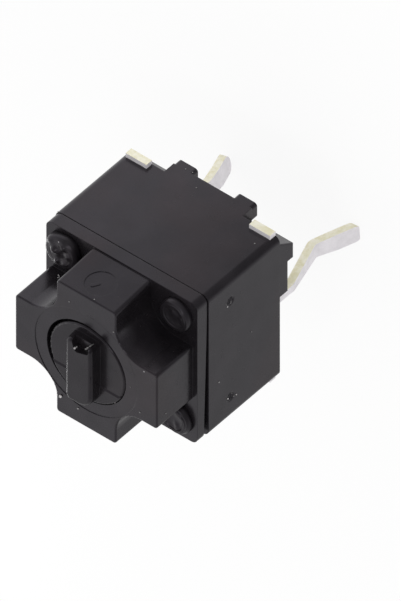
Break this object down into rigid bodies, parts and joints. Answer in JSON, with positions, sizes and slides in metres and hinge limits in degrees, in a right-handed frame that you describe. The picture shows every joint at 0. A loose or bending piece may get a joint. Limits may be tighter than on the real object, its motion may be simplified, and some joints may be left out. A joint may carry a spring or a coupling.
{
  "type": "tactile push button switch",
  "caption": "Black snap-in tactile push button switch: staked cover with a cross-shaped boss, sprung plunger with a blade-shaped post, kinked plated solder pins.",
  "frame": {"origin": "on the circuit board face under the middle of the switch, level with the faces of the feet", "axes": "+Z from the board towards the plunger, +Y towards the side with the gate mark, +X across the two pins"},
  "size_m": [0.0064, 0.0066, 0.0107],
  "materials": {
    "housing_plastic": "fine satin grain",
    "cover_plastic": "fine satin grain",
    "plunger_plastic": "semi-gloss",
    "spring_steel": "bright rolled",
    "plated_strip": "satin plating with yellowish cut edges"
  },
  "bodies": {
    "base": {"housing": "housing_plastic", "cover": "cover_plastic", "snap_dome": "spring_steel", "left_terminal": "plated_strip", "right_terminal": "plated_strip"},
    "button": {"plunger": "plunger_plastic"}
  },
  "joints": [
    {"name": "plunger_press", "type": "slide", "parent": "base", "child": "button", "axis": [0, 0, -1], "range_m": [0, 0.00025], "stiffness_N_per_m": 4000, "deforming": ["snap_dome"]}
  ]
}
